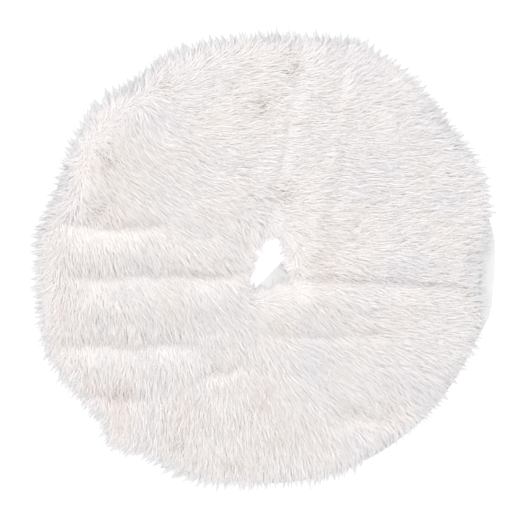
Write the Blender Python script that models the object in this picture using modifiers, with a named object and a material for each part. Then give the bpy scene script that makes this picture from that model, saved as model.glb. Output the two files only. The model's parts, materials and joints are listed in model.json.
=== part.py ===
# Round long-pile tree skirt, lying flat on the floor.
# A fur cloth over a lining, bound at its rim and round the trunk hole, is slit from hole to rim.
# A fur flap laps over the slit and is held by three hook-and-loop strips.
# Metres, +Z up. Origin: centre of the trunk hole, on the floor. The slit runs along +Y, and the
# storage fold crosses the hole nearly square to it, so the -Y half turns over onto the +Y half.
import math

import bpy
from mathutils import Matrix

# Overall sizes
SKIRT_RADIUS = 0.390          # to the tips of the pile at the rim
TRUNK_HOLE_RADIUS = 0.050     # inside the bound edge of the hole
PILE_HEIGHT = 0.0176          # above the woven backing
PILE_OVERHANG = 0.012         # pile past the bound rim
PILE_ROUNDING = 0.009         # how the pile falls away at the rim and the hole

# Cloths and tapes
LINING_THICKNESS = 0.0008
BACKING_THICKNESS = 0.0013
HEM_BINDING_WIDTH = 0.012
HOLE_BINDING_WIDTH = 0.012
PLACKET_THICKNESS = 0.0022

# Closure
FLAP_WIDTH = 0.076            # from the sewn edge to the free edge
FLAP_LAP = 0.028              # how far the free edge reaches past the slit's centre line
STRIP_LENGTH = 0.050
STRIP_WIDTH = 0.020
STRIP_THICKNESS = 0.0013
STRIP_END_MARGIN = 0.035      # from the bound edges to the nearest strip
STRIP_EDGE_MARGIN = 0.006     # from the flap's free edge to the strips

FOLD_ANGLE = math.radians(9)  # from X to the storage fold, counter-clockwise

GAP = 0.0003                  # between pieces that touch
RING_STEPS = 72
ROUNDING_STEPS = 4

# Radii, from the hole outwards
hole_binding_outer = TRUNK_HOLE_RADIUS + HOLE_BINDING_WIDTH
cloth_inner = hole_binding_outer + GAP
hem_outer = SKIRT_RADIUS - PILE_OVERHANG
hem_inner = hem_outer - HEM_BINDING_WIDTH
cloth_outer = hem_inner - GAP

# Heights of the skirt's own layers, from the floor
backing_bottom = LINING_THICKNESS + GAP
backing_top = backing_bottom + BACKING_THICKNESS
pile_bottom = backing_top + GAP
pile_top = backing_top + PILE_HEIGHT

# Heights of the closure's layers, stacked on the placket
hook_bottom = PLACKET_THICKNESS + GAP
loop_bottom = hook_bottom + STRIP_THICKNESS + GAP
facing_bottom = loop_bottom + STRIP_THICKNESS + GAP
flap_fur_bottom = facing_bottom + LINING_THICKNESS + GAP
flap_top = flap_fur_bottom + BACKING_THICKNESS + PILE_HEIGHT

# Flap hinge: along its attached edge, just above the pile, so that it turns over onto the skirt
flap_free_x = -FLAP_LAP
flap_sewn_x = FLAP_WIDTH - FLAP_LAP
flap_pivot_x = flap_sewn_x + GAP / 2
flap_pivot_z = flap_top + GAP
flap_swing = math.hypot(flap_pivot_x - flap_free_x, flap_pivot_z - facing_bottom)
back_left_edge = flap_pivot_x - flap_swing - GAP
placket_left_edge = back_left_edge + GAP
flap_hinge_y = TRUNK_HOLE_RADIUS + STRIP_END_MARGIN

# Storage fold: high enough to leave room for the turned flap between the two folded halves
turned_flap_top = 2 * flap_pivot_z - loop_bottom
fold_pivot_z = (pile_top + turned_flap_top) / 2 + GAP

# Strip places
strip_x = flap_free_x + STRIP_EDGE_MARGIN + STRIP_WIDTH / 2
strip_first_y = TRUNK_HOLE_RADIUS + STRIP_END_MARGIN + STRIP_LENGTH / 2
strip_last_y = hem_outer - STRIP_END_MARGIN - STRIP_LENGTH / 2
strip_places = {
    "inner": strip_first_y,
    "middle": (strip_first_y + strip_last_y) / 2,
    "outer": strip_last_y,
}

reach = 2 * SKIRT_RADIUS      # cutters reach well past the skirt


def clear_scene():
    for old in list(bpy.data.objects):
        bpy.data.objects.remove(old, do_unlink=True)


def new_collection(name):
    collection = bpy.data.collections.new(name)
    bpy.context.scene.collection.children.link(collection)
    return collection


def new_material(name, color, roughness):
    material = bpy.data.materials.new(name)
    material.use_nodes = True
    shader = material.node_tree.nodes["Principled BSDF"]
    shader.inputs["Base Color"].default_value = (*color, 1.0)
    shader.inputs["Roughness"].default_value = roughness
    shader.inputs["Metallic"].default_value = 0.0
    return material


def add_box(name, low, high, collection):
    centre = [(a + b) / 2 for a, b in zip(low, high)]
    bpy.ops.mesh.primitive_cube_add(size=1, location=centre)
    box = bpy.context.object
    box.name = name
    box.scale = [b - a for a, b in zip(low, high)]
    bpy.ops.object.transform_apply(location=False, rotation=False, scale=True)
    for linked in list(box.users_collection):
        linked.objects.unlink(box)
    collection.objects.link(box)
    return box


def add_cutter(name, low_x, high_x, low_y, high_y, turn=0.0):
    """A tall box, turned about the hole's axis by the given angle."""
    cutter = add_box(name, (low_x, low_y, -reach), (high_x, high_y, reach), cutters)
    cutter.matrix_basis = Matrix.Rotation(turn, 4, "Z") @ cutter.matrix_basis
    cutter.hide_render = True
    cutter.display_type = "WIRE"
    return cutter


def turned_piece(name, profile, boxes, material):
    """Turns a closed profile about the hole's axis and keeps what lies in all the boxes."""
    mesh = bpy.data.meshes.new(name)
    count = len(profile)
    edges = [(i, (i + 1) % count) for i in range(count)]
    mesh.from_pydata([(radius, 0.0, height) for radius, height in profile], edges, [])
    piece = bpy.data.objects.new(name, mesh)
    parts.objects.link(piece)
    mesh.materials.append(material)

    turn = piece.modifiers.new("turn", "SCREW")
    turn.axis = "Z"
    turn.angle = math.tau
    turn.steps = RING_STEPS
    turn.render_steps = RING_STEPS
    turn.use_merge_vertices = True
    turn.merge_threshold = 0.00001

    for box in boxes:
        cut = piece.modifiers.new(box.name, "BOOLEAN")
        cut.operation = "INTERSECT"
        cut.object = box
    return piece


def flat_profile(inner, outer, bottom, top):
    return [(outer, top), (outer, bottom), (inner, bottom), (inner, top)]


def rounded_corner(radius, height, start):
    """Points of a quarter circle, clockwise from the start angle."""
    points = []
    for step in range(ROUNDING_STEPS + 1):
        angle = start - math.pi / 2 * step / ROUNDING_STEPS
        points.append((radius + PILE_ROUNDING * math.cos(angle),
                       height + PILE_ROUNDING * math.sin(angle)))
    return points


def rim_corner(top):
    return rounded_corner(SKIRT_RADIUS - PILE_ROUNDING, top - PILE_ROUNDING, math.pi / 2)


def hole_corner(top):
    return rounded_corner(TRUNK_HOLE_RADIUS + PILE_ROUNDING, top - PILE_ROUNDING, math.pi)


def fur_profile():
    """The backing stops at the bindings, and the pile above it covers them."""
    return (rim_corner(pile_top)
            + [(SKIRT_RADIUS, pile_bottom), (cloth_outer, pile_bottom),
               (cloth_outer, backing_bottom), (cloth_inner, backing_bottom),
               (cloth_inner, pile_bottom), (TRUNK_HOLE_RADIUS, pile_bottom)]
            + hole_corner(pile_top))


def flap_fur_profile():
    return (rim_corner(flap_top)
            + [(SKIRT_RADIUS, flap_fur_bottom), (TRUNK_HOLE_RADIUS, flap_fur_bottom)]
            + hole_corner(flap_top))


def add_joint_empty(name, location, turn=0.0):
    empty = bpy.data.objects.new(name, None)
    empty.location = location
    empty.rotation_euler.z = turn
    parts.objects.link(empty)
    return empty


def hang_on(empty, *pieces):
    """Parents the pieces to the joint's empty and leaves them where they are."""
    rest = Matrix.LocRotScale(empty.location, empty.rotation_euler, None)
    for piece in pieces:
        piece.parent = empty
        piece.matrix_parent_inverse = rest.inverted()


def build_panels():
    """Fur, lining and bindings of each of the three stretches beside the slit and the fold."""
    panels = {}
    for side, boxes in regions.items():
        panels[side] = [
            turned_piece(f"{side}_fur", fur_profile(), boxes, fur),
            turned_piece(f"{side}_lining",
                         flat_profile(cloth_inner, cloth_outer, 0.0, LINING_THICKNESS),
                         boxes, lining),
            turned_piece(f"{side}_hem_binding",
                         flat_profile(hem_inner, hem_outer, 0.0, backing_top),
                         boxes, binding),
            turned_piece(f"{side}_hole_binding",
                         flat_profile(TRUNK_HOLE_RADIUS, hole_binding_outer, 0.0, backing_top),
                         boxes, binding),
        ]
    return panels


def build_strip(kind, place, bottom, material):
    strip = add_box(f"{kind}_strip_{place}",
                    (strip_x - STRIP_WIDTH / 2, strip_places[place] - STRIP_LENGTH / 2, bottom),
                    (strip_x + STRIP_WIDTH / 2, strip_places[place] + STRIP_LENGTH / 2,
                     bottom + STRIP_THICKNESS), parts)
    strip.data.materials.append(material)
    return strip


def build_underlap():
    """The lower edge of the slit: a doubled cloth placket with the hook strips sewn to it."""
    box = add_cutter("placket_region", placket_left_edge, flap_sewn_x, 0.0, reach)
    placket = turned_piece("underlap_placket",
                           flat_profile(TRUNK_HOLE_RADIUS, hem_outer, 0.0, PLACKET_THICKNESS),
                           [back_box, box], lining)
    hooks = [build_strip("hook", place, hook_bottom, hook_tape) for place in strip_places]
    return [placket, *hooks]


def build_flap():
    """The upper edge of the slit: fur on a facing, with the loop strips sewn under it."""
    box = add_cutter("flap_region", flap_free_x, flap_sewn_x, 0.0, reach)
    flap_fur = turned_piece("flap_fur", flap_fur_profile(), [back_box, box], fur)
    facing = turned_piece("flap_facing",
                          flat_profile(TRUNK_HOLE_RADIUS, hem_outer, facing_bottom,
                                       facing_bottom + LINING_THICKNESS),
                          [back_box, box], lining)
    loops = [build_strip("loop", place, loop_bottom, loop_tape) for place in strip_places]
    return [flap_fur, facing, *loops]


clear_scene()
parts = new_collection("tree_skirt")
cutters = new_collection("cutters")

fur = new_material("long_pile_fur", (0.83, 0.81, 0.80), 0.9)
lining = new_material("lining_cloth", (0.80, 0.79, 0.77), 0.8)
binding = new_material("binding_tape", (0.78, 0.78, 0.78), 0.5)
hook_tape = new_material("hook_tape", (0.75, 0.75, 0.75), 0.4)
loop_tape = new_material("loop_tape", (0.78, 0.78, 0.77), 0.9)

front_box = add_cutter("front_region", -reach, reach, -reach, -GAP / 2, FOLD_ANGLE)
back_box = add_cutter("back_region", -reach, reach, GAP / 2, reach, FOLD_ANGLE)
left_box = add_cutter("left_region", -reach, back_left_edge, -reach, reach)
right_box = add_cutter("right_region", flap_sewn_x + GAP, reach, -reach, reach)
regions = {
    "front": [front_box],
    "back_left": [back_box, left_box],
    "back_right": [back_box, right_box],
}

storage_fold = add_joint_empty("storage_fold", (0.0, 0.0, fold_pivot_z), FOLD_ANGLE)
closure_hinge = add_joint_empty("closure_hinge", (flap_pivot_x, flap_hinge_y, flap_pivot_z))

panels = build_panels()
build_underlap()
hang_on(storage_fold, *panels["front"])
hang_on(closure_hinge, *build_flap())
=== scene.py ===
# Long-pile tree skirt: cloth, bindings, closure tapes and fur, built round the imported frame
import json
import math
import bmesh
import bpy
import numpy as np
from mathutils import Matrix, Vector


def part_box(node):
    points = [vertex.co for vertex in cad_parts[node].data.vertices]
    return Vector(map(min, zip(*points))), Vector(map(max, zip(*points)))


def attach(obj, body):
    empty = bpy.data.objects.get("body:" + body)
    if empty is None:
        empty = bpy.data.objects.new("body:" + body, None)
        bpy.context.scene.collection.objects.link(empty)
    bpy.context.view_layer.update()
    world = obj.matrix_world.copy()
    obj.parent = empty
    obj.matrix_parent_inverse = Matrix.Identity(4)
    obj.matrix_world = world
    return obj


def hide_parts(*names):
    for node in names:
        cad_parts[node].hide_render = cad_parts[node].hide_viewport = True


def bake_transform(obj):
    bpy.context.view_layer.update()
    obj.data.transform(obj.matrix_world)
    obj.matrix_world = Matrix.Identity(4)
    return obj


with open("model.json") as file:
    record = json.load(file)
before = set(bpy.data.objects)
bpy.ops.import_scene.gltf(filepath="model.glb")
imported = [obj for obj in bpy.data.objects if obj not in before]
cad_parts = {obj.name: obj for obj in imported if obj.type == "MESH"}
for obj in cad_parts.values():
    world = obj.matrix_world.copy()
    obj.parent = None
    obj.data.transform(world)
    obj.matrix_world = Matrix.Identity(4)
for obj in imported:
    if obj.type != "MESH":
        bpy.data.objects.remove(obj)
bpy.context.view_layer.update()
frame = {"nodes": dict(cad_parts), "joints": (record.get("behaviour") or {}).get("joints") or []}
print("frame loaded:", len(frame["nodes"]), "nodes")


# what the frame fixes: radii, edges and heights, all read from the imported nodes

def jointNamed(name):
    return next(joint for joint in frame["joints"] if joint["name"] == name)


rimRadius = -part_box("front_fur")[0].y
hemRadius = -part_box("front_hem_binding")[0].y
clothRadius = -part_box("front_lining")[0].y
holeBandRadius = -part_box("front_hole_binding")[0].y
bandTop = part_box("front_hem_binding")[1].z
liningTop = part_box("front_lining")[1].z
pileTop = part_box("front_fur")[1].z
placketLow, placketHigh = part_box("underlap_placket")
facingLow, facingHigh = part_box("flap_facing")
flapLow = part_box("flap_fur")[0]
holeRadius = math.hypot(placketHigh.x, placketLow.y)
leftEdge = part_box("back_left_fur")[1].x     # where the left panel stops beside the slit
gap = 0.0003     # air between two layers

foldAxis = Vector(jointNamed("storage_fold")["axis"])
foldAlong = np.array([-foldAxis.x, -foldAxis.y])
foldOut = np.array([foldAlong[1], -foldAlong[0]])     # towards the front half
flapPivot = jointNamed("closure_flap")["pos_m"]

# stretches about the fold and the flap's hinge, where the flap's cloth drops to the back panel
bends = {
    "foldWidth": 0.040,
    "flapInner": flapPivot[0] - 0.008,
    "flapOuter": flapPivot[0] + 0.014,
}


def bendAtFold(piece):
    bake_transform(piece)


def rideBack(piece):
    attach(piece, "back_half")


def bendAtFlap(piece):
    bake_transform(piece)


def linked(name, data):
    # a new object in the scene that holds the data
    holder = bpy.data.objects.new(name, data)
    bpy.context.scene.collection.objects.link(holder)
    return holder


# camera, straight above, turned so that the slit leans as the skirt was laid down
view = {"turn": math.radians(11), "height": 3.2, "across": 0.866, "right": -0.0186, "up": 0.0085,
        "sensor": 36}


def makeCamera():
    camera = bpy.data.cameras.new("camera")
    camera.sensor_width = view["sensor"]
    camera.lens = view["sensor"] * view["height"] / view["across"]
    holder = linked("camera", camera)
    spin = Matrix.Rotation(view["turn"], 3, "Z")
    holder.location = spin @ Vector((view["right"], view["up"], view["height"] + pileTop))
    holder.rotation_euler = (0, 0, view["turn"])
    bpy.context.scene.camera = holder


makeCamera()


# small helpers

def softNoise(x, y, size, seed, cells=256, shift=90.5):
    # smooth noise from -1 to 1, one random value at each corner of a grid of that size
    table = np.random.default_rng(seed).uniform(-1, 1, (cells, cells))
    across, along = x / size + shift, y / size + shift
    column, row = np.floor(across).astype(int), np.floor(along).astype(int)
    fx, fy = across - column, along - row
    fx, fy = fx * fx * (3 - 2 * fx), fy * fy * (3 - 2 * fy)

    def mixedRow(row):
        left, right = table[row % cells, column % cells], table[row % cells, (column + 1) % cells]
        return left * (1 - fx) + right * fx

    return mixedRow(row) * (1 - fy) + mixedRow(row + 1) * fy


def ease(value, low, high):
    t = np.clip((value - low) / (high - low), 0, 1)
    return t * t * (3 - 2 * t)


def easeFrom(value, edge, span):
    return ease(value, edge + span[0], edge + span[1])


def hill(distance, width):
    return np.exp(-(distance / width) ** 2)


def noises(x, y, parts):
    # each part has its height, its size and its seed
    return sum(height * softNoise(x, y, size, seed) for height, size, seed in parts)


def turnNoise(angle, turn, seed):
    return softNoise(angle / turn, angle * 0, 1, seed)


def turnBetween(angle, middle):
    # difference of two angles in degrees, from -180 to 180
    return (angle - middle + 180) % 360 - 180


def lobes(angle, marks):
    total = np.zeros_like(angle)
    for middle, width, amount in marks:
        total = total + amount * hill(turnBetween(angle, middle), width)
    return total


# how the skirt lies: degrees are counter-clockwise from +X, lengths are metres
outline = {
    "radius": rimRadius + 0.015, "furthest": rimRadius + 0.030, "tuftPast": 0.011,
    "shiftX": -0.0053, "shiftY": 0.0007, "wander": 0.002, "wanderTurn": 9,
    "lobes": [(69, 14, 0.014), (80, 5, 0.011), (32, 14, 0.012), (108, 11, -0.006),
              (138, 6, -0.009), (171, 8, -0.016), (214, 12, 0.014), (241, 5, 0.021),
              (264, 6, 0.006), (285, 10, -0.008), (317, 16, -0.009), (336, 6, -0.006),
              (355, 6, 0.004)],
}
hemShows = {"middle": 7, "width": 13, "bare": 0.024}      # where the fur leaves the hem bare
holeTufts = {
    "reach": 0.016, "count": 32, "gather": 0.96, "spread": 1.8, "margin": 0.001, "bed": 0.009,
    "lobes": [(76, 34, 0.021), (254, 22, 0.029), (287, 15, 0.020), (20, 20, 0.008),
              (324, 22, 0.026)],
}
rimTufts = {
    "count": 400, "long": 0.025, "gather": 0.80, "spread": 0.5, "margin": 0.004,
    "lean": 0.55, "drift": 1.2, "driftTurn": 14, "atBareHem": 0.8,
}
holeTongue = {"middle": 327, "reach": 0.018}   # the band lies loose into the hole

creases = [      # start x and y, end x and y, height or depth, half width
    (-0.324, -0.037, -0.051, 0.021, 0.0021, 0.018), (-0.333, -0.077, -0.042, -0.022, -0.0041, 0.012),
    (-0.297, -0.128, -0.05, -0.073, 0.0038, 0.021), (-0.319, -0.193, -0.095, -0.149, -0.0036, 0.017),
    (-0.278, -0.228, -0.096, -0.189, 0.0014, 0.017), (-0.279, -0.27, -0.152, -0.255, -0.004, 0.013),
    (-0.358, 0.005, -0.182, 0.034, -0.0037, 0.014), (0.035, -0.021, 0.337, 0.022, -0.0034, 0.011),
    (0.05, -0.056, 0.3, -0.011, 0.0025, 0.016), (0.12, 0.03, 0.269, 0.061, 0.0016, 0.016),
    (0.002, -0.115, 0.227, -0.075, -0.0028, 0.012), (0.057, 0.018, 0.068, 0.36, 0.0056, 0.011),
    (-0.084, -0.208, -0.012, -0.176, -0.0042, 0.012), (0.17, -0.227, 0.262, -0.214, -0.0036, 0.016),
    (0.315, 0.106, 0.34, -0.036, -0.004, 0.012),
]
uneven = [(0.0010, 0.045, 5), (0.0008, 0.022, 6)]
tangles = [      # middle x and y, radius, strength
    (-0.058, 0.253, 0.026, 0.9), (-0.018, 0.326, 0.03, 1.0), (0.009, 0.115, 0.03, 1.0),
    (-0.293, 0.117, 0.034, 0.8), (-0.295, 0.039, 0.026, 0.8), (-0.194, -0.26, 0.026, 0.7),
    (-0.087, -0.325, 0.028, 0.8), (0.012, -0.344, 0.024, 0.7), (0.176, -0.214, 0.026, 0.6),
    (0.257, -0.19, 0.024, 0.6), (0.33, 0.014, 0.022, 0.6), (0.075, -0.091, 0.022, 0.5),
    (0.148, -0.069, 0.02, 0.5), (-0.218, 0.261, 0.034, 0.7), (0.235, 0.237, 0.02, 0.5),
    (-0.053, -0.19, 0.02, 0.6), (-0.319, -0.103, 0.024, 0.6),
]
combing = {
    "heading": -19, "acrossTurn": 112, "alongTurn": 202,     # degrees, degrees a metre
    "lowest": -74, "highest": 16,
    "wander": [(11, 0.060, 21), (12, 0.022, 22)],
    "swirls": [
        # middle, radius, turn in degrees
        ((0.090, -0.067), 0.038, -26),
        ((-0.182, -0.103), 0.060, 18),
        ((0.170, -0.224), 0.060, 19),
        ((0.150, -0.038), 0.035, -14),
        ((-0.035, 0.045), 0.035, -30),
        ((-0.270, 0.197), 0.055, -42),
        ((0.066, 0.323), 0.032, 35),
    ],
}
underfur = {
    "columns": 76, "steps": 360, "top": 0.0112, "rounding": 0.003,
    "holeEdge": 0.004, "hemEdge": 0.004, "fromTips": 0.026, "widensFrom": 0.25, "holeTo": 0.10,
    "rimFall": (-0.055, -0.024), "flapRimFall": (-0.052, -0.024), "holeFall": (0.001, 0.026),
    "relief": 1.15, "tangle": 0.0045, "least": 0.001, "edge": 0.0022,
}


def polar(x, y):
    return np.hypot(x, y), np.degrees(np.arctan2(y, x)) % 360


def bareHem(angle):
    return hill(turnBetween(angle, hemShows["middle"]), hemShows["width"])


def furEdge(angle):
    # radius that the tips at the rim reach
    wander = outline["wander"] * turnNoise(angle, outline["wanderTurn"], 3)
    turn = np.radians(angle)
    shift = outline["shiftX"] * np.cos(turn) + outline["shiftY"] * np.sin(turn)
    return outline["radius"] + shift + lobes(angle, outline["lobes"]) + wander


def tipEdge(angle):
    # the same, less the width of hem that is bare
    return furEdge(angle) - hemShows["bare"] * bareHem(angle)


def holeEdge(angle):
    # radius that the tips round the trunk hole reach
    return holeTufts["reach"] + lobes(angle, holeTufts["lobes"])


def holeBed(angle):
    # where the dense fibres and the roots end beside the hole: they crowd into it
    return np.minimum(holeEdge(angle) + holeTufts["bed"], holeRadius + underfur["holeEdge"])


def tuftOf(angle, count, seed):
    # the tuft that a direction belongs to: its own direction and random numbers
    number = np.floor(angle / 360 * count).astype(int) % count
    own = np.random.default_rng(seed).uniform(0, 1, (count, 3))[number]
    return (number + 0.3 + 0.4 * own[..., 0]) * 360 / count, own


def gatherTufts(x, y):
    # past the cloth's edges the strands close up into pointed tufts
    radius, angle = polar(x, y)
    tip, margin = tipEdge(angle), rimTufts["margin"]
    start = tip - rimTufts["long"]
    rimPast = np.maximum(radius - start, 0)
    rimShare = rimTufts["gather"] * ease(radius, start - margin, tip - margin)
    rimShare = rimShare * (1 - rimTufts["atBareHem"] * bareHem(angle))
    bed, margin = holeBed(angle), holeTufts["margin"]
    holePast = np.maximum(bed - radius, 0)
    holeShare = holeTufts["gather"] * (1 - ease(radius, holeEdge(angle) + margin, bed - margin))
    drift = rimTufts["drift"] * turnNoise(angle, rimTufts["driftTurn"], 93)
    lean = rimTufts["lean"] * (tuftOf(angle, rimTufts["count"], 91)[1][..., 1] - 0.5 + drift)
    turned = angle + np.degrees(lean * rimPast / np.maximum(radius, 0.01))
    for tufts, seed, share, past in ((rimTufts, 91, rimShare, rimPast),
                                     (holeTufts, 92, holeShare, holePast)):
        middle, own = tuftOf(angle, tufts["count"], seed)
        turned = turned + share * turnBetween(middle, angle)
        radius = radius + past * tufts["spread"] * (own[..., 2] - 0.6)
    radius = np.minimum(radius, outline["furthest"])
    turned = np.radians(turned)
    return radius * np.cos(turned), radius * np.sin(turned)


def creaseShare(x, y, ends, width, seed, wobble=0.006, size=0.05, past=0.02, within=0.03):
    # 1 along the middle of a crease, falling to 0 at its sides and past its ends
    a, b = np.array(ends[:2]), np.array(ends[2:])
    run = b - a
    length = np.hypot(*run)
    along = ((x - a[0]) * run[0] + (y - a[1]) * run[1]) / length
    aside = (-(x - a[0]) * run[1] + (y - a[1]) * run[0]) / length
    aside = aside + wobble * softNoise(along, along * 0 + seed, size, 7)
    fade = ease(along, -past, within) * (1 - ease(along, length - within, length + past))
    return fade * hill(aside, width)


def relief(x, y):
    # ridges and valleys left by folding, in metres about the skirt's own level
    total = noises(x, y, uneven)
    for *ends, height, width in creases:
        total = total + height * creaseShare(x, y, ends, width, 900 * height)
    return total


def tangled(x, y, aside=0.006, share=0.8, inCrease=0.6, perDepth=110):
    # 1 where the pile is tangled, in its spots and along the valleys
    total = np.zeros_like(x)
    for cx, cy, radius, strength in tangles:
        total = np.maximum(total, strength * hill(np.hypot(x - cx + aside, y - cy), share * radius))
    for *ends, height, width in creases:
        if height < 0:
            valley = creaseShare(x, y, ends, inCrease * width, 900 * height)
            total = np.maximum(total, -perDepth * height * valley)
    return total


def underFlap(x, y, far=0.03, near=0.004, start=(-0.01, 0.02)):
    # 1 on the strip that the flap covers, falling to 0 beside it
    right = bends["flapOuter"]
    side = ease(x, leftEdge - far, leftEdge - near) * (1 - ease(x, right + near, right + far))
    return side * ease(y, *start)


def clothLift(x, y, least=0.0015, share=0.45, holeCalm=0.05, calmFrom=0.33, hemCalm=0.006):
    # how far the cloth's underside lies off the floor
    radius, angle = polar(x, y)
    calm = ease(radius, holeRadius, holeRadius + holeCalm) * (
        1 - ease(radius, calmFrom, hemRadius - hemCalm))
    return np.maximum(least + share * relief(x, y), 0) * calm * (1 - underFlap(x, y))


print("lie of the skirt set:", len(creases), "creases,", len(tangles), "tangles")


# shader maths: a wrapped socket adds its Math nodes when it is used in an expression

def mathOperator(operation, reflected=False):
    def combine(self, other):
        first, second = (other, self) if reflected else (self, other)
        return self.finish.node("ShaderNodeMath", {"operation": operation}, {0: first, 1: second})

    return combine


class Wire:
    __add__, __radd__ = mathOperator("ADD"), mathOperator("ADD", True)
    __mul__, __rmul__ = mathOperator("MULTIPLY"), mathOperator("MULTIPLY", True)

    def __init__(self, finish, socket):
        self.finish = finish
        self.socket = socket


class Finish:
    # one material, its Principled shader and the nodes that feed it
    def __init__(self, name, **constants):
        self.material = bpy.data.materials.new(name)
        self.material.use_nodes = True
        self.tree = self.material.node_tree
        self.shader = self.tree.nodes["Principled BSDF"]
        for socket, value in constants.items():
            self.shader.inputs[socket.replace("_", " ")].default_value = value

    def node(self, kind, settings=None, inputs=None, output=0):
        made = self.tree.nodes.new(kind)
        for name, value in (settings or {}).items():
            if name == "stops":
                ramp = made.color_ramp.elements
                while len(ramp) < len(value):
                    ramp.new(0.5)
                for stop, (place, color) in zip(ramp, value):
                    stop.position = place
                    stop.color = (*color, 1)
            else:
                setattr(made, name, value)
        for name, value in (inputs or {}).items():
            self.plug(made.inputs[name], value)
        return Wire(self, made.outputs[output])

    def plug(self, socket, value):
        if isinstance(value, Wire):
            self.tree.links.new(value.socket, socket)
        elif isinstance(value, tuple) and len(value) == 3 and socket.type == "RGBA":
            socket.default_value = (*value, 1)
        else:
            socket.default_value = value

    def feed(self, socket, value):
        self.plug(self.shader.inputs[socket], value)

    def place(self, turn=0.0):
        # object coordinates, turned about Z
        where = self.node("ShaderNodeTexCoord", output="Object")
        return self.node("ShaderNodeMapping", {}, {"Vector": where, "Rotation": (0, 0, turn)})

    def grain(self, place, scale, detail=2.0, rough=0.5):
        return self.node("ShaderNodeTexNoise", {}, {
            "Vector": place, "Scale": scale, "Detail": detail, "Roughness": rough})

    def bands(self, place, scale, distortion, direction="X"):
        return self.node("ShaderNodeTexWave", {"wave_type": "BANDS", "bands_direction": direction},
                         {"Vector": place, "Scale": scale, "Distortion": distortion}, output=1)

    def mix(self, share, first, second, how="MIX"):
        return self.node("ShaderNodeMix", {"data_type": "RGBA", "blend_type": how},
                         {0: share, 6: first, 7: second}, output=2)

    def bump(self, height, depth):
        self.feed("Normal", self.node("ShaderNodeBump", {}, {
            "Height": height, "Distance": depth, "Strength": 1.0}))


furLook = {
    # root and tip: painted light, the roots lighter against their shade, the tips darker against
    # their light
    "root": (0.985, 0.955, 0.95), "tip": (0.955, 0.933, 0.932),
    "rose": (0.98, 0.90, 0.882), "cream": (1.0, 0.972, 0.945), "plain": (0.99, 0.97, 0.962),
    # edgeShade: painted grey shade for the tips at the rim and the hole
    "cool": (0.965, 0.952, 0.972), "edgeShade": (0.70, 0.722, 0.73),
    # bed colours: painted shade deep in the pile, darkest as painted shade in tangles and valleys
    "bedShadeDarker": (0.62, 0.565, 0.55), "bedShadeLighter": (0.68, 0.63, 0.615),
    "bedShadeTangled": (0.36, 0.315, 0.30), "bedDepth": 0.0012,
}


def furFinish():
    # across the strand's map: its tone, whose far end is the painted grey shade; along the map: from
    # root to tip, painted light with the roots lighter and the tips darker
    finish = Finish("longPileFur", Roughness=0.75, Sheen_Weight=0.25, Sheen_Roughness=0.5,
                    Specular_IOR_Level=0.25)
    where = finish.node("ShaderNodeUVMap", {"uv_map": "OFBake"})
    tone = finish.node("ShaderNodeSeparateXYZ", {}, {0: where}, output=0)
    along = finish.node("ShaderNodeSeparateXYZ", {}, {0: where}, output=1)
    tint = finish.node("ShaderNodeValToRGB", {"stops": [
        (0.0, furLook["rose"]), (0.25, furLook["cream"]), (0.45, furLook["plain"]),
        (0.7, furLook["cool"]), (0.95, furLook["edgeShade"])]}, {0: tone})
    # painted light: the roots are painted lighter to offset the shade deep in the pile, and the tips
    # darker to tone down the light on the top strands
    depth = finish.node("ShaderNodeValToRGB", {"stops": [
        (0.0, furLook["root"]), (0.45, furLook["tip"]), (1.0, furLook["tip"])]}, {0: along})
    finish.feed("Base Color", finish.mix(1.0, depth, tint, "MULTIPLY"))
    return finish.material


def underfurFinish():
    # the dense short fibres between the long strands, coloured darker as painted shade deep in the
    # pile, and darker still as painted shade where the pile is tangled or lies in a valley
    finish = Finish("underfur", Roughness=0.95, Sheen_Weight=0.2, Sheen_Roughness=0.5,
                    Specular_IOR_Level=0.1)
    place = finish.place()
    fibre, patch = finish.grain(place, 900, 3, 0.6), finish.grain(place, 18)
    plain = finish.mix(patch, furLook["bedShadeDarker"], furLook["bedShadeLighter"])
    loose = finish.node("ShaderNodeAttribute", {"attribute_name": "loose"}, output=2)
    # painted shade: darker where the pile is tangled or lies in a valley
    finish.feed("Base Color", finish.mix(loose, plain, furLook["bedShadeTangled"]))
    finish.bump(fibre, furLook["bedDepth"])
    return finish.material


def clothFinish(name, light, dark, threadsPerMetre, turn=0.0, depth=0.00008):
    # plain weave: two sets of threads that cross
    finish = Finish(name, Roughness=0.85, Sheen_Weight=0.15)
    place = finish.place(turn)
    warp = finish.bands(place, threadsPerMetre / 20, 0.3)
    weft = finish.bands(place, threadsPerMetre / 20, 0.3, "Y")
    cross = (warp + weft) * 0.5
    slub = finish.grain(place, 60, 3)
    finish.feed("Base Color", finish.mix(cross * 0.6 + slub * 0.4, dark, light))
    finish.bump(cross, depth)
    return finish.material


def satinFinish(name, dark, light):
    # bias tape: close diagonal ribs and a soft gloss
    finish = Finish(name, Roughness=0.42, Sheen_Weight=0.1)
    place = finish.place(math.radians(45))
    rib = finish.bands(place, 70, 0.2)
    crease = finish.grain(place, 45)
    finish.feed("Base Color", finish.mix(crease, dark, light))
    finish.feed("Roughness", 0.38 + crease * 0.14)
    finish.bump(rib * 0.3 + crease, 0.0003)
    return finish.material


def plainFinish(name, color, roughness, **constants):
    finish = Finish(name, Roughness=roughness, **constants)
    fuzz = finish.grain(finish.place(), 700)
    shade = tuple(0.93 * channel for channel in color)
    finish.feed("Base Color", finish.mix(fuzz, shade, color))
    return finish.material


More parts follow.
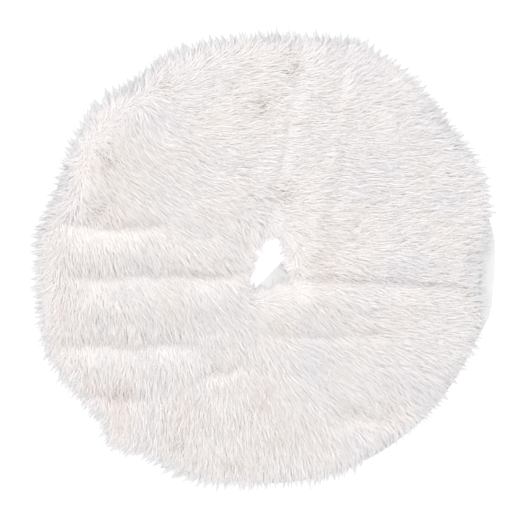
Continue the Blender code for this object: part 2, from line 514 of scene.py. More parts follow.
furMaterial = furFinish()
underfurMaterial = underfurFinish()
liningMaterial = clothFinish("liningTaffeta", (0.50, 0.49, 0.48), (0.41, 0.40, 0.395), 900)
placketMaterial = clothFinish("placketTwill", (0.49, 0.48, 0.475), (0.40, 0.39, 0.385), 700,
                              turn=math.radians(35), depth=0.00012)
hemMaterial = satinFinish("hemSatin", (0.50, 0.503, 0.50), (0.57, 0.573, 0.57))
holeBandMaterial = satinFinish("holeBandSatin", (0.58, 0.586, 0.58), (0.63, 0.636, 0.63))
hookMaterial = plainFinish("hookNylon", (0.58, 0.58, 0.573), 0.35)
loopMaterial = plainFinish("loopPile", (0.60, 0.59, 0.58), 0.9, Sheen_Weight=0.3)
threadMaterial = plainFinish("sewingThread", (0.72, 0.715, 0.71), 0.55)
print("finishes ready")


# meshes

def newPiece(name, mesh, material):
    piece = linked(name, mesh)
    mesh.materials.append(material)
    return piece


def meshFrom(shape, name, smooth=True):
    mesh = bpy.data.meshes.new(name)
    shape.to_mesh(mesh)
    shape.free()
    if smooth:
        mesh.shade_smooth()
    return mesh


def clothPiece(shape, name, material, slot, bend, *nodes):
    piece = newPiece(name, meshFrom(shape, name), material)
    if material == underfurMaterial:
        markPaintedShade(piece)
    bend(piece)
    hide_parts(*nodes)
    return piece


def moveVertices(shape, rule):
    # rule takes the arrays x, y, z and returns the new ones
    places = np.array([vertex.co for vertex in shape.verts])
    moved = np.stack(rule(places[:, 0], places[:, 1], places[:, 2]), 1)
    for vertex, place in zip(shape.verts, moved):
        vertex.co = place


def closeUp(shape):
    # fills what is open and turns the faces outwards
    bmesh.ops.holes_fill(shape, edges=[e for e in shape.edges if e.is_boundary], sides=0)
    bmesh.ops.recalc_face_normals(shape, faces=shape.faces)


def spunRing(profile, startAngle, sweep, steps):
    # a closed outline in the XZ plane, spun about Z; a part turn gets end caps
    shape = bmesh.new()
    loop = [shape.verts.new((radius, 0, height)) for radius, height in profile]
    edges = [shape.edges.new(pair) for pair in zip(loop, loop[1:] + loop[:1])]
    whole = abs(sweep) >= 2 * math.pi - 1e-6
    bmesh.ops.rotate(shape, verts=loop, matrix=Matrix.Rotation(startAngle, 3, "Z"))
    bmesh.ops.spin(shape, geom=loop + edges, axis=(0, 0, 1), cent=(0, 0, 0), dvec=(0, 0, 0),
                   angle=sweep, steps=steps, use_merge=whole, use_duplicate=False)
    closeUp(shape)
    return shape


def cutAcross(shape, place, normal):
    geometry = shape.verts[:] + shape.edges[:] + shape.faces[:]
    bmesh.ops.bisect_plane(shape, geom=geometry, plane_co=place, plane_no=normal, dist=1e-6)


def cutSlit(shape):
    # drops the strip that the placket and the flap take over
    for x in (leftEdge, slitRight):
        cutAcross(shape, (x, 0, 0), (1, 0, 0))
    middles = [(face, face.calc_center_median()) for face in shape.faces]
    dropped = [face for face, place in middles if leftEdge < place.x < slitRight and place.y > 0]
    bmesh.ops.delete(shape, geom=dropped, context="FACES")
    closeUp(shape)


def layeredProfile(inner, outer, bottom, top, columns, roundness):
    # closed outline of a flat layer: columns along the top and the bottom, rounded ends
    turn = min(roundness, (top - bottom) / 2)
    lower = [(r, bottom) for r in np.linspace(inner + turn, outer - turn, columns + 1)]
    upper = [(r, top) for r in np.linspace(outer - turn, inner + turn, columns + 1)]
    middle, cut = (bottom + top) / 2, turn - 0.7071 * turn
    outside = [(outer - cut, bottom + cut), (outer, middle), (outer - cut, top - cut)]
    inside = [(inner + cut, top - cut), (inner, middle), (inner + cut, bottom + cut)]
    return lower + outside + upper + inside


slitRight = bends["flapOuter"]      # the back panel is cut here, and the flap's cloth takes over
lining = {"columns": 60, "steps": 300, "rounding": 0.0004}


def makeLining():
    profile = layeredProfile(holeBandRadius, clothRadius, 0, liningTop, lining["columns"],
                             lining["rounding"])
    shape = spunRing(profile, 0, 2 * math.pi, lining["steps"])
    cutSlit(shape)
    moveVertices(shape, lambda x, y, z: (x, y, z + clothLift(x, y)))
    return clothPiece(shape, "lining", liningMaterial, "lining_cloth", bendAtFold,
                      "front_lining", "back_left_lining", "back_right_lining")


def edgeFalls(x, y, rimFall):
    # 1 at the rim and 1 at the hole, where the dense fibres thin out
    radius, angle = polar(x, y)
    return (easeFrom(radius, tipEdge(angle), rimFall),
            1 - easeFrom(radius, holeBed(angle), underfur["holeFall"]))


def underfurTop(x, y):
    # height of the dense fibres over the skirt
    fall = np.maximum(*edgeFalls(x, y, underfur["rimFall"]))
    height = (underfur["top"] + underfur["relief"] * relief(x, y)
              - underfur["tangle"] * tangled(x, y))
    return np.maximum(bandTop + underfur["least"],
                      height * (1 - fall) + (bandTop + underfur["edge"]) * fall)


underfurInner, underfurOuter = holeRadius + underfur["holeEdge"], hemRadius - underfur["hemEdge"]


def widening(x, y, fullAt):
    # how far the dense fibres are stretched, so that their edges follow the fur's outline
    radius, angle = polar(x, y)
    grow = 1 + ease(radius, underfur["widensFrom"], fullAt) * (
        (tipEdge(angle) - underfur["fromTips"]) / underfurOuter - 1)
    return grow + (1 - ease(radius, underfurInner, underfur["holeTo"])) * (
        holeBed(angle) / underfurInner - 1)


def markPaintedShade(piece):
    # where the pile is tangled or lies in a valley, for the painted shade between the strands
    mesh = piece.data
    places = np.empty(len(mesh.vertices) * 3, np.float32)
    mesh.vertices.foreach_get("co", places)
    mark = mesh.attributes.new("loose", "FLOAT", "POINT")
    mark.data.foreach_set("value", tangled(places[0::3], places[1::3]).astype(np.float32))


def makeFurCloth():
    bottom = bandTop + gap
    profile = layeredProfile(underfurInner, underfurOuter, bottom, underfur["top"],
                             underfur["columns"], underfur["rounding"])
    shape = spunRing(profile, 0, 2 * math.pi, underfur["steps"])
    cutSlit(shape)

    def raised(x, y, z):
        share = (z - bandTop - gap) / (underfur["top"] - bandTop - gap)
        lift = clothLift(x, y)
        low = bottom + lift
        grow = widening(x, y, underfurOuter)
        return x * grow, y * grow, low + share * (underfurTop(x, y) + lift - low)

    moveVertices(shape, raised)
    return clothPiece(shape, "furCloth", underfurMaterial, "long_pile_fur", bendAtFold,
                      "front_fur", "back_left_fur", "back_right_fur")


bands = {
    "steps": 420, "columns": 6, "rounding": 0.0011, "under": 0.001,
    "pucker": 0.0004, "puckers": 210, "widens": (-0.1, 0.8), "endShare": 0.98,
}


def slitAngle(x, radius):
    return math.pi / 2 - math.asin(x / radius)


def makeBand(name, material, inner, outer, start, end, widened, *nodes):
    # a band along the hem or the hole, puckered by its stitches
    profile = layeredProfile(inner, outer, 0, bandTop, bands["columns"], bands["rounding"])
    sweep = end + 2 * math.pi - start
    shape = spunRing(profile, start, sweep, round(bands["steps"] * sweep / (2 * math.pi)))

    def placed(x, y, z):
        radius, angle = polar(x, y)
        ripple = bands["pucker"] * np.sin(np.radians(angle) * bands["puckers"])
        fromMiddle = abs(radius - (inner + outer) / 2) / (outer - inner)
        grow = widened(radius, angle)
        return x * grow, y * grow, z + z / bandTop * ripple * (1 - fromMiddle)

    moveVertices(shape, placed)
    return clothPiece(shape, name, material, "binding_tape", bendAtFold, *nodes)


def hemWidened(radius, angle):
    # the band shows past the fur where the fur lies inwards
    share = ease(radius, clothRadius - bands["under"], hemRadius)
    past = furEdge(angle) - outline["tuftPast"] - hemRadius
    want = hemRadius + past * ease(bareHem(angle), *bands["widens"])
    return 1 + share * (want / hemRadius - 1)


def holeTongued(radius, angle):
    # one stretch of the band lies loose, into the hole
    aside = np.radians(turnBetween(angle, holeTongue["middle"]))
    reach = np.minimum(holeTongue["reach"] / np.maximum(np.cos(aside), 0.2), holeRadius)
    share = 1 - ease(radius, holeRadius, holeBandRadius)
    return 1 + share * (reach / holeRadius - 1)


def stripGrid(lowX, highX, innerRadius, outerRadius, columns, rows):
    # a flat strip along the slit, whose ends follow the hole and the rim
    shape = bmesh.new()
    bmesh.ops.create_grid(shape, x_segments=columns, y_segments=rows, size=1)

    def placed(x, y, z):
        newX = lowX + (highX - lowX) * (x + 1) / 2
        near = np.sqrt(np.maximum(innerRadius ** 2 - newX ** 2, 0))
        far = np.sqrt(outerRadius ** 2 - newX ** 2)
        return newX, near + (far - near) * (y + 1) / 2, z

    moveVertices(shape, placed)
    return shape


def thicken(shape, thickness):
    # upwards, from the strip as it was laid
    if shape.faces[:][0].normal.z < 0:
        bmesh.ops.reverse_faces(shape, faces=shape.faces)
    bmesh.ops.solidify(shape, geom=shape.faces[:], thickness=-thickness)
    bmesh.ops.recalc_face_normals(shape, faces=shape.faces)


closure = {"columns": 26, "facingColumns": 32, "flapColumns": 34, "rows": 110}
placket = {"lift": 0.0006, "wave": 0.0003, "waveSize": 0.03, "under": 0.0001,
           "roll": 0.0003, "rollWidth": 0.006, "rollsAbove": 0.001}
flap = {"pile": 0.0092, "least": 0.003, "edge": 0.0018, "tangle": 0.004, "cloth": 0.001,
        "freeFall": (-0.002, 0.028), "freeShare": 0.95, "endShare": 0.8, "dropsFrom": 0.002}


def makePlacket():
    shape = stripGrid(placketLow.x, placketHigh.x, holeRadius, hemRadius,
                      closure["columns"], closure["rows"])
    moveVertices(shape, lambda x, y, z: (
        x, y, placket["lift"] + placket["wave"] * softNoise(x, y, placket["waveSize"], 11)))
    top = placketHigh.z - placket["under"]
    thicken(shape, top - placket["lift"])

    def hemmed(x, y, z):
        # the turned edge beside the slit is a little thicker
        edge = hill(x - placketLow.x, placket["rollWidth"]) * (z > placket["rollsAbove"])
        return x, y, np.clip(z + placket["roll"] * edge, 0, top)

    moveVertices(shape, hemmed)
    return clothPiece(shape, "placketCloth", placketMaterial, "lining_cloth", rideBack,
                      "underlap_placket")


def hingeDrop(x):
    # 0 on the flap, 1 where its cloth meets the back panel
    return ease(x, bends["flapInner"] - flap["dropsFrom"], bends["flapOuter"])


def makeFlapFacing():
    shape = stripGrid(facingLow.x, slitRight, holeRadius, hemRadius,
                      closure["facingColumns"], closure["rows"])

    def placed(x, y, z):
        drop = hingeDrop(x)
        return x, y, facingLow.z * (1 - drop) + (liningTop + gap) * drop

    moveVertices(shape, placed)
    thicken(shape, facingHigh.z - facingLow.z)
    return clothPiece(shape, "flapFacing", liningMaterial, "lining_cloth", bendAtFlap,
                      "flap_facing")


def flapFurBottom(x):
    return flapLow.z * (1 - hingeDrop(x)) + (bandTop + gap) * hingeDrop(x)


def flapFurTop(x, y):
    # dense fibres of the flap: rounded at the free edge, the rim and the hole
    freeFall = 1 - easeFrom(x, flapLow.x, flap["freeFall"])
    rimFall, holeFall = edgeFalls(x, y, underfur["flapRimFall"])
    share = flap["endShare"]
    fall = 1 - (1 - freeFall * flap["freeShare"]) * (1 - rimFall * share) * (1 - holeFall * share)
    pile = flap["pile"] + underfur["relief"] * relief(x, y) - flap["tangle"] * tangled(x, y)
    high = flapFurBottom(x) + np.maximum(pile, flap["least"]) * (1 - fall) + flap["edge"] * fall
    return high * (1 - hingeDrop(x)) + underfurTop(x, y) * hingeDrop(x)


def makeFlapCloth():
    shape = stripGrid(flapLow.x, slitRight, underfurInner, underfurOuter,
                      closure["flapColumns"], closure["rows"])
    thicken(shape, flap["cloth"])

    def placed(x, y, z):
        share = np.where(z > flap["cloth"] / 2, 1.0, 0.0)
        low = flapFurBottom(x)
        return x, y * widening(x, y, hemRadius), low + share * (flapFurTop(x, y) - low)

    moveVertices(shape, placed)
    return clothPiece(shape, "flapCloth", underfurMaterial, "long_pile_fur", bendAtFlap, "flap_fur")


liningPiece = makeLining()
furCloth = makeFurCloth()
hemBand = makeBand("hemBand", hemMaterial, clothRadius - bands["under"], hemRadius,
                   slitAngle(leftEdge, hemRadius), slitAngle(slitRight, hemRadius), hemWidened,
                   "front_hem_binding", "back_left_hem_binding", "back_right_hem_binding")
holeBand = makeBand("holeBand", holeBandMaterial, holeRadius, holeBandRadius + bands["under"],
                    slitAngle(leftEdge, holeRadius),
                    slitAngle(slitRight * bands["endShare"], holeBandRadius), holeTongued,
                    "front_hole_binding", "back_left_hole_binding", "back_right_hole_binding")
placketPiece = makePlacket()
facingPiece = makeFlapFacing()
flapCloth = makeFlapCloth()
print("cloth and bands made")


# strands: one tapered fibre shape, repeated along curved paths

strandSteps = 12
strandRings = [0, 3, 7, 12]       # the steps from root to point that carry a ring


def strandShape(sides=3):
    # a cone with a ring at each of those steps; the last is its point
    shape = bmesh.new()
    bmesh.ops.create_cone(shape, cap_ends=True, segments=sides, radius1=1, radius2=0, depth=1)
    bmesh.ops.translate(shape, verts=shape.verts, vec=(0, 0, 0.5))
    for ring in strandRings[1:-1]:
        cutAcross(shape, (0, 0, ring / strandSteps), (0, 0, 1))
    bmesh.ops.remove_doubles(shape, verts=shape.verts, dist=1e-6)
    bmesh.ops.triangulate(shape, faces=shape.faces)
    bmesh.ops.recalc_face_normals(shape, faces=shape.faces)
    shape.verts.ensure_lookup_table()
    places = np.array([vertex.co for vertex in shape.verts])
    faces = np.array([[vertex.index for vertex in face.verts] for face in shape.faces])
    shape.free()
    along = places[:, 2]
    around = np.arctan2(places[:, 1], places[:, 0]) + math.pi     # one flat side faces up
    isPoint = along > 1 - 1e-6
    return {"along": along, "across": np.where(isPoint, 0, np.cos(around)),
            "over": np.where(isPoint, 0, np.sin(around)), "faces": faces}


strand = strandShape()


def strandMesh(name, corners, faces):
    mesh = bpy.data.meshes.new(name)
    mesh.vertices.add(corners.size // 3)
    mesh.vertices.foreach_set("co", corners.astype(np.float32).ravel())
    mesh.loops.add(faces.size)
    mesh.loops.foreach_set("vertex_index", faces.astype(np.int32).ravel())
    mesh.polygons.add(len(faces))
    mesh.polygons.foreach_set("loop_start", np.arange(0, faces.size, 3, dtype=np.int32))
    mesh.update(calc_edges=True)
    return mesh


def stampStrands(name, material, fibres, taper=0.7, flatness=0.5, thinnest=0.12,
                 toneSpread=0.006, margin=0.01):
    # fibres holds one array for each property of the strands; angles are radians
    count = len(fibres["x"])
    fine = (np.arange(strandSteps + 1) / strandSteps)[None, :]
    upward = fibres.get("upward", 1)

    def own(key):
        return fibres[key][:, None]

    settled = (1 - fine) ** fibres.get("settle", 1.6)
    slope = own("fall") + (own("rise") - own("fall")) * settled
    heading = (own("heading") + own("curl") * fine
               + own("wave") * np.sin(fine * own("waves") + own("phase")))
    step = own("length") / strandSteps

    def summed(moves, start):
        middle = (moves[:, 1:] + moves[:, :-1]) / 2
        return start + np.concatenate([np.zeros((count, 1)), np.cumsum(middle, 1)], 1)

    pulled = fine ** 1.4
    lineX = summed(np.cos(slope) * np.cos(heading) * step, own("x")) + own("pullX") * pulled
    lineY = summed(np.cos(slope) * np.sin(heading) * step, own("y")) + own("pullY") * pulled
    lineZ = summed(np.sin(slope) * step * upward, own("z"))
    lineZ = np.maximum(lineZ, fibres.get("floor", -1.0))
    if "gather" in fibres:
        lineX, lineY = fibres["gather"](lineX, lineY)
    along = strand["along"]
    ring = np.round(along * strandSteps).astype(int)
    thin = np.maximum((1 - along) ** taper, thinnest * (along < 1))
    half = own("width") / 2 * thin[None, :]
    side = half * strand["across"][None, :]
    over = half * strand["over"][None, :] * flatness
    h, e = heading[:, ring], slope[:, ring] * upward
    x = lineX[:, ring] - np.sin(h) * side - np.sin(e) * np.cos(h) * over
    y = lineY[:, ring] + np.cos(h) * side - np.sin(e) * np.sin(h) * over
    z = lineZ[:, ring] + np.cos(e) * over
    first = (np.arange(count) * len(along))[:, None, None]
    faces = (strand["faces"][None] + first).reshape(-1, 3)
    mesh = strandMesh(name, np.stack([x, y, z], -1), faces)
    if "tone" in fibres:
        # the map: tone across, root to tip along
        spread = own("tone") + toneSpread * strand["across"][None, :]
        rootToTip = np.broadcast_to(margin + (1 - 2 * margin) * along[None, :], spread.shape)
        places = np.stack([np.clip(spread, margin, 1 - margin), rootToTip], -1).reshape(-1, 2)
        layer = mesh.uv_layers.new(name="OFBake")
        layer.uv.foreach_set("vector", places[faces.ravel()].astype(np.float32).ravel())
    return newPiece(name, mesh, material)


pile = {
    "spacing": 0.00230, "length": 0.031, "lengthSpread": 0.15,
    "width": 0.00121, "widthSpread": 0.25,
    "rise": 43, "riseSpread": 6, "fall": 0, "fallSpread": 5,
    "headingSpread": 2.5, "headingRough": 7, "curl": 12, "wave": 6,
    "lock": 0.0072, "lockPull": 0.06, "pullRough": 0.62, "lockTurn": 4, "turnRough": 14,
    "roughSize": 0.028, "parting": 0.010, "partingSize": 0.03, "spray": 9, "thinned": 0.54,
    "sunk": 0.0025, "floor": 0.0008, "mostInPiece": 12000,
    "atSlit": {"span": (-0.028, -0.006), "longer": 0.18, "rise": 9},
    "tangled": {"turn": 60, "turnSize": 0.016, "rise": 25, "fall": 18, "shorter": 0.25},
    "atRim": {"span": (-0.070, -0.030), "lean": 14, "root": 0.025, "uneven": 0.003,
              "shortest": 0.008, "stops": 0.92, "near": 0.03, "rise": 0.6, "fall": 12},
    "atHole": {"span": (0.012, 0.024), "root": 0.001, "uneven": 0.003, "shortest": 0.008,
               "longest": 0.045, "stops": 0.95, "rise": 30, "riseSpread": 8, "fall": -22,
               "fallSpread": 6},
    "tone": {"middle": 0.42, "slope": 0.20, "patches": [(0.26, 0.06, 51), (0.14, 0.025, 52)],
             # tangled: tone pushed towards rose, painted shade in tangles and valleys
             "spread": 0.05, "tangled": 0.14, "least": 0.03, "most": 0.72},
    # edgeShade: painted grey shade on the tips at the rim and the hole
    "edgeShade": {"tone": 0.90, "sway": 0.07, "turn": 2.2, "spread": 0.03, "atHole": 0.6,
             "span": (-0.060, -0.028)},
}


def pileHeading(x, y):
    # the way that the pile was combed, in degrees
    heading = combing["heading"] + combing["acrossTurn"] * x + combing["alongTurn"] * y
    heading = np.clip(heading, combing["lowest"], combing["highest"])
    for (cx, cy), radius, turn in combing["swirls"]:
        heading = heading + turn * hill(np.hypot(x - cx, y - cy), radius)
    return heading + noises(x, y, combing["wander"])


def locksOf(x, y, size, seed, cells=400):
    # the nearest lock to each root: its middle, and random numbers of its own
    random = np.random.default_rng(seed).uniform(0, 1, (cells, cells, 5))
    across, along = np.repeat((-1, 0, 1), 3), np.tile((-1, 0, 1), 3)
    column = np.floor(x / size).astype(int)[:, None] + across
    row = np.floor(y / size).astype(int)[:, None] + along
    own = random[(row + cells // 2) % cells, (column + cells // 2) % cells]
    middleX, middleY = (column + own[..., 0]) * size, (row + own[..., 1]) * size
    nearest = np.argmin(np.hypot(middleX - x[:, None], middleY - y[:, None]), 1)
    chosen = np.arange(len(x)), nearest
    return middleX[chosen], middleY[chosen], own[chosen][:, 2:]


def scatter(spacing, seed, rowShare=0.866, jitter=0.45):
    # roots on a jittered triangular grid over the whole disc
    random = np.random.default_rng(seed)
    rows = int(2 * rimRadius / (spacing * rowShare)) + 2
    columns = int(2 * rimRadius / spacing) + 2
    row, column = np.meshgrid(np.arange(rows), np.arange(columns), indexing="ij")
    x = (column + 0.5 * (row % 2)) * spacing - rimRadius
    y = row * spacing * rowShare - rimRadius
    x = x + random.uniform(-jitter, jitter, x.shape) * spacing
    y = y + random.uniform(-jitter, jitter, y.shape) * spacing
    return x.ravel(), y.ravel()


def inStrip(x, y, left):
    return (x > left) & (x < slitRight) & (y > 0)


def tonesOf(x, y, loose, inward, bell):
    # 0 is rosy, 1 is the painted grey shade: patches over the skirt, and painted grey shade on the
    #                                         tips at the rim and the hole
    facts, edgeShade = pile["tone"], pile["edgeShade"]
    radius, angle = polar(x, y)
    # rosier where the pile is tangled or lies in a valley: painted shade
    tone = (facts["middle"] + facts["slope"] * (x * 0.9 + y * 0.6) / rimRadius
            + noises(x, y, facts["patches"]) + facts["spread"] * bell() - facts["tangled"] * loose)
    tone = np.clip(tone, facts["least"], facts["most"])
    # the painted grey shade is strongest on the side towards the key light, to hold down the light
    # those tips get
    sway = edgeShade["sway"] * np.cos(np.radians(angle) - edgeShade["turn"])
    edgeShadeTone = edgeShade["tone"] + sway + edgeShade["spread"] * bell()
    share = np.maximum(easeFrom(radius, tipEdge(angle), edgeShade["span"]), edgeShade["atHole"] * inward)
    return np.clip(tone + (edgeShadeTone - tone) * share, facts["least"], 1 - facts["least"])


def grow(x, y, onTheFlap, seed):
    # every property of the strands that root at these places
    random = np.random.default_rng(seed)
    count = len(x)

    def bell():
        return random.normal(0, 1, count)

    atRim, atHole, atSlit, tangle = pile["atRim"], pile["atHole"], pile["atSlit"], pile["tangled"]
    radius, angle = polar(x, y)
    edge, loose = tipEdge(angle), tangled(x, y)
    rough = ease(softNoise(x, y, pile["roughSize"], 42), -0.05, 0.7)
    middleX, middleY, own = locksOf(x, y, pile["lock"], 31)
    heading = pileHeading(x, y) + (pile["lockTurn"] + pile["turnRough"] * rough) * (
        own[:, 0] - 0.5) * 2
    heading = heading + (pile["headingSpread"] + pile["headingRough"] * rough) * bell()
    heading = heading + loose * tangle["turn"] * (
        softNoise(x, y, tangle["turnSize"], 41) + 0.5 * bell())

    # near the rim the pile turns outwards, near the hole inwards
    parting = pile["parting"] * (softNoise(x, y, pile["partingSize"], 43) + 0.7 * bell())
    outward = easeFrom(radius + parting, edge, atRim["span"])
    inward = 1 - easeFrom(radius + 0.3 * parting, holeBed(angle), atHole["span"])
    spray = pile["spray"] * bell()
    heading = heading + outward * (turnBetween(angle - atRim["lean"], heading) + atRim["lean"]
                                   + spray)
    heading = heading + inward * (turnBetween(angle + 180, heading) + spray)
    direction = np.radians(heading)
    facing = np.cos(direction - np.radians(angle))      # 1 where the strand points outwards

    length = pile["length"] * (1 + pile["lengthSpread"] * bell().clip(-2, 2))
    length = length * (0.9 + 0.2 * own[:, 1]) * (1 - tangle["shorter"] * loose)
    rise = np.radians(pile["rise"] + pile["riseSpread"] * bell() + tangle["rise"] * loose)
    fall = np.radians(pile["fall"] + pile["fallSpread"] * bell()
                      + tangle["fall"] * loose * random.uniform(-1, 1, count))
    # beside the slit the pile is full, and lies over the edge of the flap
    beside = easeFrom(x, leftEdge, atSlit["span"]) * (x < leftEdge) * (y > 0)
    length = length * (1 + atSlit["longer"] * beside)
    rise = rise + np.radians(atSlit["rise"]) * beside
    # the tips stop at the outline
    room = (edge + atRim["uneven"] * bell() - radius) / np.maximum(facing, 0.25)
    reach = np.where(facing > 0.1, room, 1.0)
    length = np.where(reach < length * atRim["stops"],
                      np.maximum(reach, atRim["shortest"]) / atRim["stops"], length)
    rise = np.where(reach < atRim["near"], rise * atRim["rise"], rise)
    fall = np.where(reach < atRim["near"], fall - np.radians(atRim["fall"]), fall)
    inRoom = radius - holeEdge(angle) - atHole["uneven"] * np.abs(bell())
    inRoom = np.clip(inRoom, atHole["shortest"], atHole["longest"]) / atHole["stops"]
    length = np.where(inward > 0.5, inRoom, length)
    rise = np.where(inward > 0.5, np.radians(atHole["rise"] + atHole["riseSpread"] * bell()), rise)
    fall = np.where(inward > 0.5, np.radians(atHole["fall"] + atHole["fallSpread"] * bell()), fall)

    top = flapFurTop(x, y) if onTheFlap else underfurTop(x, y) + clothLift(x, y)
    pull = (pile["lockPull"] + pile["pullRough"] * rough) * (0.7 + 0.5 * own[:, 2])
    pull = pull * (1 - 0.5 * loose)
    return {
        "x": x, "y": y, "z": top - pile["sunk"], "heading": direction, "length": length,
        "rise": rise, "fall": fall, "tone": tonesOf(x, y, loose, inward, bell),
        "curl": np.radians(pile["curl"]) * bell(),
        "wave": np.radians(pile["wave"]) * random.uniform(0.3, 1, count) * (1 + loose),
        "waves": random.uniform(3, 6, count), "phase": random.uniform(0, 6.28, count),
        "pullX": (middleX - x) * pull, "pullY": (middleY - y) * pull,
        "width": (pile["width"] * (1.12 - 0.14 * rough - 0.25 * loose)
                  * (1 + pile["widthSpread"] * bell()).clip(0.5, 2)),
        "floor": pile["floor"], "gather": gatherTufts,
    }


def pilePieces(name, x, y, onTheFlap, place, seed):
    # sorted along X and split, so that each piece stays a workable size
    fibres = grow(x, y, onTheFlap, seed)
    parts = max(1, math.ceil(len(x) / pile["mostInPiece"]))
    for number, share in enumerate(np.array_split(np.argsort(x), parts), 1):
        chosen = {key: value[share] if isinstance(value, np.ndarray) else value
                  for key, value in fibres.items()}
        place(stampStrands(f"{name}{number}", furMaterial, chosen))
    print(name, len(x), "strands in", parts, "pieces")


def makePile():
    x, y = scatter(pile["spacing"], 61)
    radius, angle = polar(x, y)
    onCloth = ((radius > holeBed(angle) + pile["atHole"]["root"])
               & (radius < tipEdge(angle) - pile["atRim"]["root"]))
    thinned = np.random.default_rng(62).uniform(0, 1, len(x)) < pile["thinned"] * tangled(x, y)
    x, y = x[onCloth & ~thinned], y[onCloth & ~thinned]
    front = x * foldOut[0] + y * foldOut[1] > 0
    slit, onFlap = inStrip(x, y, leftEdge - 0.001), inStrip(x, y, flapLow.x + 0.001)
    onFront, onBack = front & ~slit, ~front & ~slit
    pilePieces("frontPile", x[onFront], y[onFront], False, bendAtFold, 71)
    pilePieces("backPile", x[onBack], y[onBack], False, rideBack, 72)
    pilePieces("flapPile", x[onFlap], y[onFlap], True, bendAtFlap, 73)


makePile()


# hook-and-loop strips: tape, hooks and loops, each strip where its CAD node is

stripPlaces = ("inner", "middle", "outer")
strips = {
    "tape": 0.0005, "margin": 0.0012, "shake": 0.18, "sunk": 0.0001, "corner": 0.0015,
    "hook": {"upward": 1, "body": "back_half", "material": hookMaterial, "seed": 81,
             "pitch": 0.0016, "length": 0.0015, "rise": 95, "fall": -110, "width": 0.00030,
             "taper": 0.3},
    "loop": {"upward": -1, "body": "closure_flap", "material": loopMaterial, "seed": 83,
             "pitch": 0.0014, "length": 0.0019, "rise": 75, "fall": -80, "width": 0.00032,
             "taper": 0.25},
}


def tapeShape(low, high):
    shape = bmesh.new()
    bmesh.ops.create_cube(shape, size=1)
    bmesh.ops.scale(shape, vec=high - low, verts=shape.verts)
    bmesh.ops.translate(shape, vec=(low + high) / 2, verts=shape.verts)
    upright = [e for e in shape.edges if abs(e.verts[0].co.z - e.verts[1].co.z) > 1e-5]
    bmesh.ops.bevel(shape, geom=upright, offset=strips["corner"], affect="EDGES", segments=3,
                    profile=0.5, material=-1)
    return shape


def stripRoots(low, high, pitch, seed):
    random = np.random.default_rng(seed)
    margin, shake = strips["margin"], strips["shake"] * pitch
    x, y = np.meshgrid(np.arange(low.x + margin, high.x - margin, pitch),
                       np.arange(low.y + margin, high.y - margin, pitch))
    x, y = x.ravel(), y.ravel()
    return x + random.uniform(-shake, shake, len(x)), y + random.uniform(-shake, shake, len(x))


def plainFibres(x, y, z, heading, length, facts):
    # strands without curl, wave or pull, for hooks, loops and stitches
    count = len(x)
    fibres = {"x": x, "y": y, "z": np.full(count, z), "heading": heading, "length": length,
              "upward": facts["upward"], "settle": 1.0, "width": np.full(count, facts["width"])}
    for angle in ("rise", "fall"):
        fibres[angle] = np.full(count, math.radians(facts[angle]))
    for unused in ("curl", "wave", "waves", "phase", "pullX", "pullY"):
        fibres[unused] = np.zeros(count)
    return fibres


def tapeBox(kind, place):
    # the tape is the far side of the CAD strip: the hooks stand on it, the loops hang from it
    low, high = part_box(f"{kind}_strip_{place}")
    if kind == "hook":
        high = Vector((high.x, high.y, low.z + strips["tape"]))
        return low, high, high.z
    low = Vector((low.x, low.y, high.z - strips["tape"]))
    return low, high, low.z


def makeStrip(kind, place):
    facts = strips[kind]
    ending, slot = place.capitalize(), f"{kind}_tape"
    low, high, face = tapeBox(kind, place)
    name = f"{kind}Tape{ending}"
    tape = newPiece(name, meshFrom(tapeShape(low, high), name, False), facts["material"])
    x, y = stripRoots(low, high, facts["pitch"], facts["seed"])
    random = np.random.default_rng(facts["seed"] + 1)
    heading = random.uniform(0, 1, len(x))
    heading = np.where(heading > 0.5, 0.0, math.pi) if kind == "hook" else heading * 6.28
    length = facts["length"] * random.uniform(0.9, 1.1, len(x))
    fibres = plainFibres(x, y, face - facts["upward"] * strips["sunk"], heading, length, facts)
    fuzz = stampStrands(f"{kind}s{ending}", facts["material"], fibres, facts["taper"])
    for piece in (tape, fuzz):
        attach(piece, facts["body"])
    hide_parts(f"{kind}_strip_{place}")


for stripPlace in stripPlaces:
    makeStrip("hook", stripPlace)
    makeStrip("loop", stripPlace)
print("closure strips made")


# sewing: one short arched thread for each stitch

sewing = {
    "pitch": 0.0034, "length": 0.0027, "width": 0.00055, "rise": 28, "fall": -28, "taper": 0.1,
    "sunk": 0.0001, "fromSlit": 0.003, "endShare": 0.98, "inBand": 0.0015, "inStrip": 0.0016,
    "inEdge": 0.004, "fromHole": 0.004, "fromHem": 0.006,
}


def stitchRow(name, points, headings, z, upward, place):
    count = len(points)
    fibres = plainFibres(points[:, 0], points[:, 1], z, headings,
                         np.full(count, sewing["length"]), {**sewing, "upward": upward})
    place(stampStrands(name, threadMaterial, fibres, sewing["taper"], flatness=1))


def ringStitches(name, radius, z, upward):
    right = min(slitRight + sewing["fromSlit"], radius * sewing["endShare"])
    angles = np.arange(slitAngle(leftEdge - sewing["fromSlit"], radius),
                       slitAngle(right, radius) + 2 * math.pi, sewing["pitch"] / radius)
    points = np.stack([radius * np.cos(angles), radius * np.sin(angles)], 1)
    stitchRow(name, points, angles + math.pi / 2, z, upward, bendAtFold)


def lineStitches(name, corners, z, upward, body):
    # straight rows from each corner to the next
    points, headings = [], []
    for start, end in zip(corners, corners[1:]):
        run = np.array(end) - np.array(start)
        count = int(np.hypot(*run) / sewing["pitch"])
        points.append(np.array(start) + run * (np.arange(count) / count)[:, None])
        headings.append(np.full(count, math.atan2(run[1], run[0])))
    stitchRow(name, np.concatenate(points), np.concatenate(headings), z, upward,
              lambda piece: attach(piece, body))


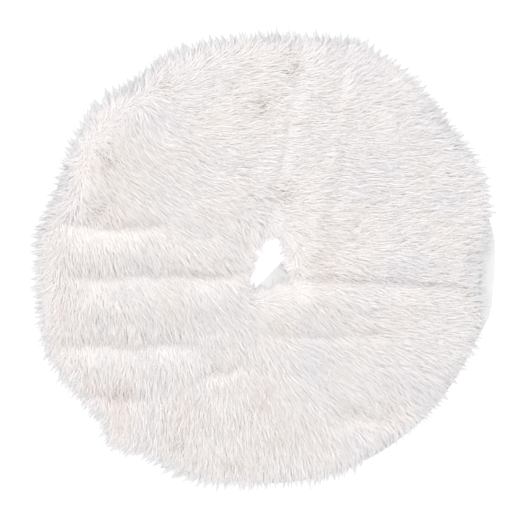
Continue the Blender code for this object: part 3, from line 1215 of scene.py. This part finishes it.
def edgeStitches(name, edge, z, upward, body):
    x = edge + sewing["inEdge"]
    lineStitches(name, [(x, holeRadius + sewing["fromHole"]), (x, hemRadius - sewing["fromHem"])],
                 z, upward, body)


def makeSewing():
    hemLine, holeLine = clothRadius + sewing["inBand"], holeBandRadius - sewing["inBand"]
    ringStitches("hemSewingUnder", hemLine, sewing["sunk"], -1)
    ringStitches("holeSewingUnder", holeLine, sewing["sunk"], -1)
    ringStitches("hemSewing", hemLine, bandTop, 1)
    inset = sewing["inStrip"]
    for place in stripPlaces:
        for kind in ("hook", "loop"):
            low, high, face = tapeBox(kind, place)
            left, right, near, far = low.x + inset, high.x - inset, low.y + inset, high.y - inset
            corners = [(left, near), (right, near), (right, far), (left, far), (left, near)]
            lineStitches(f"{kind}Sewing{place.capitalize()}", corners, face,
                         strips[kind]["upward"], strips[kind]["body"])
    edgeStitches("placketSewing", placketLow.x, placketHigh.z - sewing["sunk"], 1, "back_half")
    edgeStitches("facingSewing", facingLow.x, facingLow.z, -1, "closure_flap")


makeSewing()
print("sewing made")


# stage and light

def makeStage():
    floorShape = bmesh.new()
    bmesh.ops.create_grid(floorShape, x_segments=1, y_segments=1, size=6)
    finish = Finish("paleFloor", Base_Color=(0.96, 0.96, 0.96, 1), Roughness=0.9,
                    Emission_Color=(1, 1, 1, 1), Emission_Strength=0.25)
    floor = linked("floor", meshFrom(floorShape, "floor", smooth=False))
    floor.data.materials.append(finish.material)
    floor.location.z = -0.0006


lights = {
    "sky": 1.475, "gamma": 1.36,
    "key": {"place": (-0.45, 1.9, 2.0), "size": 1.6, "power": 20},
    "fill": {"place": (1.6, -1.0, 2.4), "size": 2.2, "power": 4},
}


def makeLight(name):
    facts = lights[name]
    lamp = bpy.data.lights.new(name, "AREA")
    lamp.shape = "DISK"
    lamp.size = facts["size"]
    lamp.energy = facts["power"]
    holder = linked(name, lamp)
    holder.location = facts["place"]
    holder.rotation_euler = (-Vector(facts["place"])).to_track_quat("-Z", "Y").to_euler()


def makeLighting():
    world = bpy.data.worlds.new("studio")
    bpy.context.scene.world = world
    world.use_nodes = True
    sky = world.node_tree.nodes["Background"]
    sky.inputs["Color"].default_value = (1, 1, 1, 1)
    sky.inputs["Strength"].default_value = lights["sky"]
    makeLight("key")
    makeLight("fill")
    bpy.context.scene.view_settings.view_transform = "Standard"
    bpy.context.scene.view_settings.gamma = lights["gamma"]


makeStage()
makeLighting()
